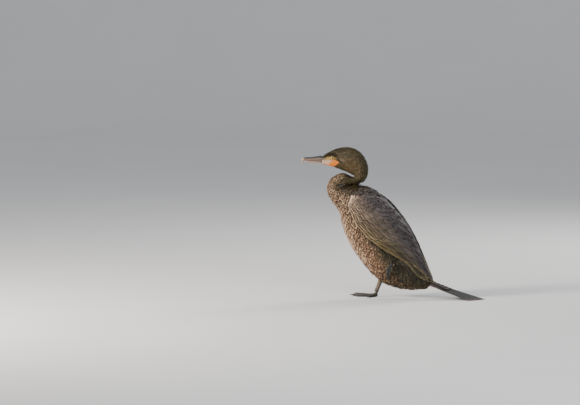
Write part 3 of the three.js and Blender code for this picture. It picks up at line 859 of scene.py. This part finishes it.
def join(name, objects):
    """One object from several."""
    bpy.ops.object.select_all(action="DESELECT")
    for obj in objects:
        obj.select_set(True)
    bpy.context.view_layer.objects.active = objects[0]
    bpy.ops.object.join()
    objects[0].name = name
    objects[0].data.name = name
    return objects[0]


plume_wing = feather_material("plume_wing", 0.58, 60.0, 0.3, 0.47, (0.02, 0.018, 0.016), 0.86)
plume_flight = feather_material("plume_flight", 0.6, 110.0, 0.36, 0.48, (0.16, 0.14, 0.11))

GREY, GREY_RIM = srgb(88, 81, 80), srgb(32, 28, 29)
OLIVE, OLIVE_RIM = srgb(64, 56, 37), srgb(116, 100, 68)
BEND, BEND_RIM = srgb(92, 66, 52), srgb(240, 212, 184)
FLIGHT, FLIGHT_RIM = srgb(50, 47, 36), srgb(118, 108, 80)
EDGE_PALE = srgb(168, 142, 108)
# Painted shade: the dark colour of the body under each wing's feathers.
BED_SHADE = srgb(34, 31, 28)
POINTED = np.array([(0, 0.6), (0.35, 1), (0.6, 0.94), (0.8, 0.68), (0.93, 0.34), (1, 0.06)])
BLADE = np.array([(0, 0.7), (0.3, 1), (0.75, 0.92), (0.9, 0.7), (0.97, 0.42), (1, 0.12)])
BED_LONG, BED_ACROSS = 40, 20
BED_SUNK, BED_DEPTH = 0.0021, 0.002


def wing_bed(side):
    """The closed body under a wing's feathers, so that none shows a hole, coloured dark as painted shade
    between and round them.
    """
    s, t = np.linspace(0.05, 0.95, BED_LONG), np.linspace(0.04, 0.95, BED_ACROSS)
    s, t = np.meshgrid(s, t, indexing="ij")
    place, normal = wing_place(side, s, t)
    top = (place + normal * (wing_height(s, t) - BED_SUNK)[..., None]).reshape(-1, 3)
    under = (place - normal * BED_DEPTH).reshape(-1, 3)
    corner = np.arange(s.size).reshape(s.shape)
    rim = np.concatenate([corner[:, 0], corner[-1, 1:], corner[-2::-1, -1], corner[0, -2:0:-1]])
    lower = s.size + np.arange(len(rim))
    walls = np.stack([rim, np.roll(rim, -1), np.roll(lower, -1), lower], 1)
    faces = [*grid_quads(corner.T).tolist(), *walls.tolist(), lower.tolist()]
    mesh = bpy.data.meshes.new("bed")
    mesh.from_pydata([*top.tolist(), *under[rim].tolist()], [], faces)
    draft = bmesh.new()
    draft.from_mesh(mesh)
    bmesh.ops.recalc_face_normals(draft, faces=draft.faces)
    draft.to_mesh(mesh)
    draft.free()
    set_colours(mesh, base=BED_SHADE, rim=BED_SHADE)
    patch = unwrap(mesh_arrays(mesh)[0])
    set_uv(mesh, OFBake=patch, Vane=patch)
    mesh.materials.append(plume_wing)
    return new_object("bed", mesh)


def make_wing(side, word):
    parts = [wing_bed(side)]
    flight = {"material": plume_flight, "rows": 16, "profile": BLADE}
    covert = {"material": plume_wing, "profile": POINTED}
    grey = {"base": GREY, "rim": GREY_RIM}

    def add(*values, **more):
        parts.append(wing_row(side, *values, **more))

    # Flight feathers: primaries, the inner ones over the back, then secondaries
    add(10, 0.6, 0.98, 0.14, 0.97, 0.016, base=FLIGHT, rim=FLIGHT_RIM, tips=(1.03, 0.84), order=-0.0006,
        drop=0.0016, **flight)
    add(5, 0.48, 0.86, 0.0, 0.32, 0.021, base=(GREY * 0.8, GREY * 0.7), rim=FLIGHT_RIM, tips=(0.95, 0.84),
        order=-0.0002, **flight)
    add(12, 0.4, 0.72, 0.26, 1.0, 0.018, base=(GREY * 0.75, OLIVE * 0.9), rim=(FLIGHT_RIM, OLIVE_RIM),
        tips=(0.84, 0.62), order=-0.0002, **flight)
    # Coverts, from the longest near the tip to the small ones at the shoulder
    add(10, 0.36, 0.62, 0.3, 0.98, 0.0175, base=(GREY * 0.9, OLIVE), rim=(GREY_RIM, OLIVE_RIM), rows=12,
        tips=(0.67, 0.53), fan=0.03, **covert)
    for tip in (0.78, 0.71, 0.64, 0.58):
        add(7, tip - 0.19, tip, -0.08, 0.4, 0.0165, rows=10, stagger=0.02, **grey, **covert)
    add(11, 0.29, 0.5, 0.3, 1.0, 0.0165, base=(GREY, OLIVE), rim=(GREY_RIM, OLIVE_RIM), rows=12,
        tips=(0.56, 0.46), **covert)
    for tip in (0.53, 0.48, 0.44, 0.4):
        add(9, tip - 0.14, tip, -0.08, 0.46, 0.0145, rows=8, stagger=0.018, **grey, **covert)
    for tip in (0.45, 0.4, 0.355, 0.315):
        add(12, tip - 0.12, tip, 0.3, 1.0, 0.0135, base=(GREY, OLIVE), rim=(GREY_RIM, EDGE_PALE), rows=8,
            **covert)
    for tip in (0.36, 0.32, 0.285, 0.25, 0.215, 0.18, 0.145, 0.11, 0.08):
        add(10, tip - 0.085, tip, -0.08, 0.46, 0.012, rows=6, stagger=0.013, **grey, **covert)
    bends = (0.28, 0.245, 0.21, 0.178, 0.148, 0.12, 0.095, 0.07, 0.048)
    for i, tip in enumerate(bends):
        share = (i + 1) / len(bends)
        low_base = OLIVE * (1 - share) + BEND * share
        low_rim = EDGE_PALE * (1 - share) + BEND_RIM * share
        add(13, tip - 0.07, tip, 0.32, 1.0, 0.0108, base=(GREY, low_base), rim=(GREY_RIM, low_rim),
            material=plume_wing, rows=6)
    wing = join("wing_feathers_" + word, parts)
    shade_smooth(wing)
    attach(wing, "root")
    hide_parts("wing_" + word)


make_wing(-1, "left")
make_wing(1, "right")

# Tail: stiff feathers in a fan down to the floor, with coverts above and below its root

TAIL_ROOT = (155.6, 41, 11)
TAIL_LONG = 152
TAIL_FAN = math.radians(15)
TAIL_DROOP = 0.12
TAIL_FEATHERS = 14
FLOOR_GAP = 0.0002


def tail_place(along, spread, lift):
    """Places of the tail, for millimetres along it, and the directions out of its upper side."""
    angle = spread * TAIL_FAN
    y = spread * TAIL_ROOT[2] + along * np.sin(angle)
    out = along * np.cos(angle)
    drop = TAIL_DROOP * np.abs(y)
    x = TAIL_ROOT[0] + out * math.cos(TAIL_SLOPE) + lift * math.sin(TAIL_SLOPE)
    z = TAIL_ROOT[1] - out * math.sin(TAIL_SLOPE) + lift * math.cos(TAIL_SLOPE) - drop
    place = np.stack([x / 1000 + SHIFT, y / 1000, np.maximum(z, 0.35) / 1000], -1)
    out_of = np.stack([np.full_like(y, math.sin(TAIL_SLOPE)), np.sign(y) * TAIL_DROOP,
                       np.full_like(y, math.cos(TAIL_SLOPE))], -1)
    return place, unit(out_of)


def tail_row(spread, start, end, lift, rise, width, base, rim, material, rows, across):
    """One row of the tail in millimetres. spread, end and lift have a value for each feather."""
    count = len(spread)
    share = np.linspace(0, 1, rows + 1)
    along = start + (end - start)[:, None] * share
    spread = np.repeat(spread[:, None], rows + 1, 1)
    place, normal = tail_place(along, spread, lift[:, None] + rise * share)
    tone = RNG.uniform(0.85, 1.15, (count, 1))
    return feathers("row", place, normal, np.full(count, width), np.zeros((count, rows + 1)),
                    base * tone, rim * tone, material, across=across, ragged=0.015, camber=0.16,
                    profile=BLADE, thick=0.0004)


def make_tail():
    order = np.arange(TAIL_FEATHERS) - (TAIL_FEATHERS - 1) / 2
    rank = (np.abs(order) - 0.5) * 5 / 6
    dark, edge = srgb(30, 29, 32), srgb(96, 88, 82)
    parts = [tail_row(order / order[-1], -6, TAIL_LONG - 5.5 * rank, 2.6 - 0.95 * rank, 0, 0.0165,
                      dark, edge, plume_flight, 18, 8)]

    def coverts(spread, long, curve, slope, rise, width, base, rim, rows):
        for end, lift in rows:
            parts.append(tail_row(spread, end - long, end - curve * np.abs(spread),
                                  lift + slope * np.abs(spread), rise, width, base, rim, plume_wing, 8, 6))

    coverts(np.linspace(-0.8, 0.8, 6), 40, 7, -1.4, 0.6, 0.0135, srgb(58, 52, 48), srgb(34, 31, 30),
            ((56, 3.6), (44, 4.6), (32, 5.4), (20, 6.0)))
    coverts(np.linspace(-0.9, 0.9, 7), 36, 6, 1.2, 0.8, 0.013, srgb(44, 40, 32), srgb(78, 68, 48),
            ((40, -4.0), (28, -4.8), (16, -5.4)))
    tail = join("tail_feathers", parts)
    co, _ = mesh_arrays(tail.data)
    co[:, 2] = np.maximum(co[:, 2], FLOOR_GAP)
    set_points(tail.data, co)
    shade_smooth(tail)
    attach(tail, "root")
    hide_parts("tail")


make_tail()

# Bill: copies of the solids' halves, finer and worked over


def refined(name, node_names, voxel=0.0, levels=0, relax=0):
    """A finer copy of the solids named, in their place."""
    draft = draft_of(node_names)
    bmesh.ops.remove_doubles(draft, verts=draft.verts, dist=1e-6)
    made = new_object(name, mesh_of(name, draft))
    if voxel:
        add_voxels(made, voxel)
    if levels:
        made.modifiers.new("finer", "SUBSURF").levels = levels
    if relax:
        add_relax(made, 0.5, relax)
    bake_modifiers(made)
    shade_smooth(made)
    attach(made, "root")
    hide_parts(*node_names)
    return made


horn = painted_material("bill_horn", 0.32, 0.15, 240.0, (0.15, 1, 1), 0.0005)
BILL_RIDGE, BILL_SIDE, BILL_HOOK = srgb(50, 50, 54), srgb(118, 96, 82), srgb(176, 146, 114)
CUTTING_EDGE, LOWER_TIP, LOWER_ROOT = srgb(92, 76, 62), srgb(158, 118, 90), srgb(134, 104, 80)
LOWER_EDGE = srgb(96, 80, 66)
RIDGE_LINE = np.array([(-214, 386.5), (-190, 387.4), (-160, 390)])
ROOT_DEPTH = 0.0075
GROOVE_DEPTH = 0.00035


def make_bill():
    for name in ("bill_upper", "bill_lower"):
        bill = refined(name + "_horn", [name], levels=2)
        co, _ = mesh_arrays(bill.data)
        co[:, 0] += ROOT_DEPTH * smooth(-0.0016, 0, co[:, 0] - co[:, 0].max())
        x, _, z = to_body(co).T
        if name == "bill_upper":
            down = above(RIDGE_LINE, x, z)
            colour = blend(BILL_SIDE, BILL_RIDGE, smooth(-3.4, 0.2, down))
            colour = blend(colour, CUTTING_EDGE, (1 - smooth(380.4, 381.6, z)) * smooth(-212, -205, x))
            colour = blend(colour, BILL_HOOK, 1 - smooth(-216, -210, x))
            groove = hump(down + 2.6, 0.5) * smooth(-213, -206, x)
            co[:, 1] -= np.sign(co[:, 1]) * groove * GROOVE_DEPTH
            set_points(bill.data, co)
        else:
            colour = blend(LOWER_TIP, LOWER_ROOT, smooth(-190, -165, x))
            colour = blend(colour, LOWER_EDGE, smooth(378.4, 379.8, z))
        set_colours(bill.data, base=colour)
        bill.data.materials.append(horn)


make_bill()

# Eyes with their beaded lids

PUPIL, IRIS, IRIS_STREAK, EYE_EDGE = srgb(5, 7, 8), srgb(14, 32, 32), srgb(28, 62, 58), srgb(12, 16, 15)
LID, LID_TOP = srgb(196, 158, 58), srgb(74, 66, 40)
LID_RING, LID_TUBE = 96, 12
BEAD = 0.0008
lid_skin = painted_material("lid_skin", 0.5, 0.1, 900.0, (1, 1, 1), 0.0004)


def eye_ball(word, centre, radius, out):
    """A wet eyeball with its cornea, iris and pupil."""
    draft = bmesh.new()
    bmesh.ops.create_uvsphere(draft, u_segments=96, v_segments=96, radius=radius)
    mesh = mesh_of("eye_ball_" + word, draft)
    co, _ = mesh_arrays(mesh)
    angle = np.degrees(np.arccos(np.clip(co @ out / radius, -1, 1)))
    cornea = 1 + 0.05 * (1 - smooth(20, 50, angle))
    set_points(mesh, co * cornea[:, None] + centre)
    streaks = 0.5 + 0.5 * np.sin(np.arctan2(co[:, 2], co[:, 0]) * 34 + np.sin(angle * 0.4))
    iris = blend(IRIS, IRIS_STREAK, streaks * smooth(18, 30, angle))
    colour = blend(PUPIL, iris, smooth(16, 18, angle))
    set_colours(mesh, base=blend(colour, EYE_EDGE, smooth(30, 35, angle)))
    eye = new_object("eye_ball_" + word, mesh)
    shade_smooth(eye)
    material, tree, shader = nodes_of("eye_gloss_" + word, 0.22, 0.35)
    shader.inputs["Coat Weight"].default_value = 0.6
    shader.inputs["Coat Roughness"].default_value = 0.05
    tree.links.new(attribute(tree, "base"), shader.inputs["Base Color"])
    mesh.materials.append(material)
    return eye


def eye_lids(word, centre, radius, out):
    """A beaded ring of skin round the eye, thicker and darker above."""
    ring = np.linspace(0, 2 * math.pi, LID_RING, endpoint=False)
    tube = np.linspace(0, 2 * math.pi, LID_TUBE, endpoint=False)[:, None]
    level = unit(np.cross(np.array([0, 0, 1.0]), out))
    around = level * np.cos(ring)[:, None] + np.cross(out, level) * np.sin(ring)[:, None]
    opening = (math.radians(38) + math.radians(4) * np.abs(np.cos(ring)))[:, None]
    outward = out * np.cos(opening) + around * np.sin(opening)
    lean = out * np.sin(opening) - around * np.cos(opening)
    bead = BEAD * (1 + 0.16 * np.sin(ring * 26)) * np.where(np.sin(ring) > 0.2, 1.3, 1)
    section = np.cos(tube) * outward[:, None] + 1.5 * np.sin(tube) * lean[:, None]
    verts = (centre + radius * outward)[:, None] + bead[:, None, None] * section
    corner = np.arange(LID_RING * LID_TUBE).reshape(LID_RING, LID_TUBE)
    faces = grid_quads(np.pad(corner, (0, 1), mode="wrap").T)
    mesh = mesh_from("lids_" + word, verts, faces)
    top = np.repeat(smooth(0.1, 0.8, np.sin(ring)), LID_TUBE)
    set_colours(mesh, base=blend(LID, LID_TOP, top * 0.8))
    lids = new_object("lids_" + word, mesh)
    shade_smooth(lids)
    mesh.materials.append(lid_skin)
    return lids


def make_eye(side, word):
    low, high = node_box("eye_" + word)
    sphere = ((low + high) / 2, (high - low)[2] / 2)
    eye = eye_ball(word, *sphere, eye_axis(side))
    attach(eye, "root")
    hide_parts("eye_" + word)
    lids = eye_lids(word, *sphere, eye_axis(side))
    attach(lids, "root")


make_eye(-1, "left")
make_eye(1, "right")

# Legs and webbed feet

# The standing foot's paler colour is painted light on its upward faces; its shank colour is partly its own
# and partly painted light, left off the side facing the tail.
FOOT_DARK, FOOT_LIT_TOP, SHANK_LIT_SIDE = srgb(44, 42, 38), srgb(92, 84, 72), srgb(128, 110, 92)
WEB_DARK, WEB_EDGE, CLAW = srgb(18, 19, 22), srgb(146, 134, 100), srgb(38, 34, 31)
leg_skin = painted_material("leg_skin", 0.6, 0.0, 300.0, (1, 1, 1), 0.0006, plates=420.0)
claw_horn = painted_material("claw_horn", 0.36, 0.2, 500.0, (0.3, 1, 1), 0.0004)


def standing_colour(p, normal, tone):
    """Dark foot with painted light on its upward faces, and a pale brownish shank colour laid only away
    from its side facing the tail, partly the shank's own colour and partly painted light.
    """
    colour = blend(FOOT_DARK, FOOT_LIT_TOP, 0.6 * tone * smooth(-0.2, 0.7, normal[:, 2]))
    return blend(colour, SHANK_LIT_SIDE, 0.7 * smooth(8, 30, p[:, 2]) * (1 - smooth(0.1, 0.8, normal[:, 0])))


def tucked_colour(p, tone):
    """Black web with pale edges in front and behind."""
    levels = np.arange(p[:, 2].min(), p[:, 2].max(), 1.5)
    bands = [p[np.abs(p[:, 2] - z) < 2.5, 0] for z in levels]
    low = np.interp(p[:, 2], levels, [band.min() for band in bands])
    high = np.interp(p[:, 2], levels, [band.max() for band in bands])
    across = np.abs(2 * (p[:, 0] - low) / np.maximum(high - low, 1) - 1)
    return blend(WEB_DARK, WEB_EDGE, smooth(0.66, 0.86, across) * (0.5 + 0.5 * tone))


def make_foot(word):
    foot = refined("foot_skin_" + word, ["leg_" + word, "foot_" + word], voxel=0.0007, relax=6)
    co, normal = mesh_arrays(foot.data)
    p = co * 1000
    tone = wave3(p, 6, 21)
    colour = standing_colour(p, normal, tone) if word == "right" else tucked_colour(p, tone)
    set_colours(foot.data, base=colour)
    foot.data.materials.append(leg_skin)
    for toe in range(1, 5):
        claw = refined(f"claw_horn_{word}_{toe}", [f"claw_{word}_{toe}"], levels=2)
        set_colours(claw.data, base=CLAW)
        claw.data.materials.append(claw_horn)


make_foot("left")
make_foot("right")

skin.data.materials.append(skin_material())
shade_smooth(skin)
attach(skin, "root")
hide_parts(*SKIN_NODES)

# Studio: camera at the photo's angle, pale floor and soft lights

AZIMUTH, ELEVATION = math.radians(12), math.radians(5)
RIGHT = Vector((math.cos(AZIMUTH), math.sin(AZIMUTH), 0))
BACK = Vector((math.sin(AZIMUTH) * math.cos(ELEVATION), -math.cos(AZIMUTH) * math.cos(ELEVATION),
               math.sin(ELEVATION)))
UP = BACK.cross(RIGHT)
DISTANCE = 12.0
SENSOR = 36
# The photo's size and the place of the body's zero point in it are in pixels.
PHOTO_WIDTH, PHOTO_HEIGHT = 580, 405
ZERO_PIXEL = (378, 297)
PIXEL = 0.0028


def make_camera():
    data = bpy.data.cameras.new("camera")
    data.sensor_width = SENSOR
    data.lens = SENSOR * DISTANCE / (PHOTO_WIDTH * PIXEL)
    data.clip_end = 60
    camera = new_object("camera", data)
    aside = (PHOTO_WIDTH / 2 - ZERO_PIXEL[0]) * PIXEL
    over = (ZERO_PIXEL[1] - PHOTO_HEIGHT / 2) * PIXEL
    target = RIGHT * aside + UP * over + Vector((SHIFT, 0, 0))
    camera.location = target + BACK * DISTANCE
    camera.rotation_mode = "QUATERNION"
    camera.rotation_quaternion = (-BACK).to_track_quat("-Z", "Y")
    bpy.context.scene.camera = camera


FLOOR_FRONT, FLOOR_BACK, FLOOR_HALF = -8, 6, 14
WALL_CURVE, WALL_TOP = 2, 9
LIGHT_AIM = (0, 0, 0.22)


def make_light(name, place, size, power, colour):
    data = bpy.data.lights.new(name, "AREA")
    data.shape = "DISK"
    data.size = size
    data.energy = power
    data.color = colour
    light = new_object(name, data)
    light.location = place
    light.rotation_mode = "QUATERNION"
    light.rotation_quaternion = (Vector(LIGHT_AIM) - Vector(place)).to_track_quat("-Z", "Y")


def make_floor():
    draft = bmesh.new()
    curve = [(FLOOR_BACK + WALL_CURVE * math.sin(a), WALL_CURVE - WALL_CURVE * math.cos(a))
             for a in np.linspace(0.2, 1.57, 8)]
    profile = [(FLOOR_FRONT, 0), (FLOOR_BACK, 0), *curve, (FLOOR_BACK + WALL_CURVE, WALL_TOP)]
    rows = [[draft.verts.new((x, y, z)) for x in (-FLOOR_HALF, FLOOR_HALF)] for y, z in profile]
    for low, high in zip(rows, rows[1:]):
        draft.faces.new((low[0], low[1], high[1], high[0]))
    floor = new_object("studio_floor", mesh_of("studio_floor", draft))
    shade_smooth(floor)
    material, tree, shader = nodes_of("studio_pale", 0.8, 0.2)
    grain = noise_of(tree, 3.0, 3.0, object_place(tree))
    tree.links.new(mix(tree, (0.74, 0.74, 0.73), (0.79, 0.79, 0.78), grain), shader.inputs["Base Color"])
    floor.data.materials.append(material)


def make_studio():
    make_floor()
    world = bpy.data.worlds.new("studio_air")
    bpy.context.scene.world = world
    world.use_nodes = True
    world.node_tree.nodes["Background"].inputs[0].default_value = (0.9, 0.93, 1, 1)
    world.node_tree.nodes["Background"].inputs[1].default_value = 0.56
    make_light("key", (-2.0, -1.3, 1.25), 0.7, 88, (1, 0.92, 0.82))
    make_light("fill", (1.4, -2.4, 1.5), 1.8, 26, (0.93, 0.96, 1))
    make_light("rim", (0.9, 1.9, 1.6), 1.0, 34, (1, 0.98, 0.95))


make_camera()
make_studio()
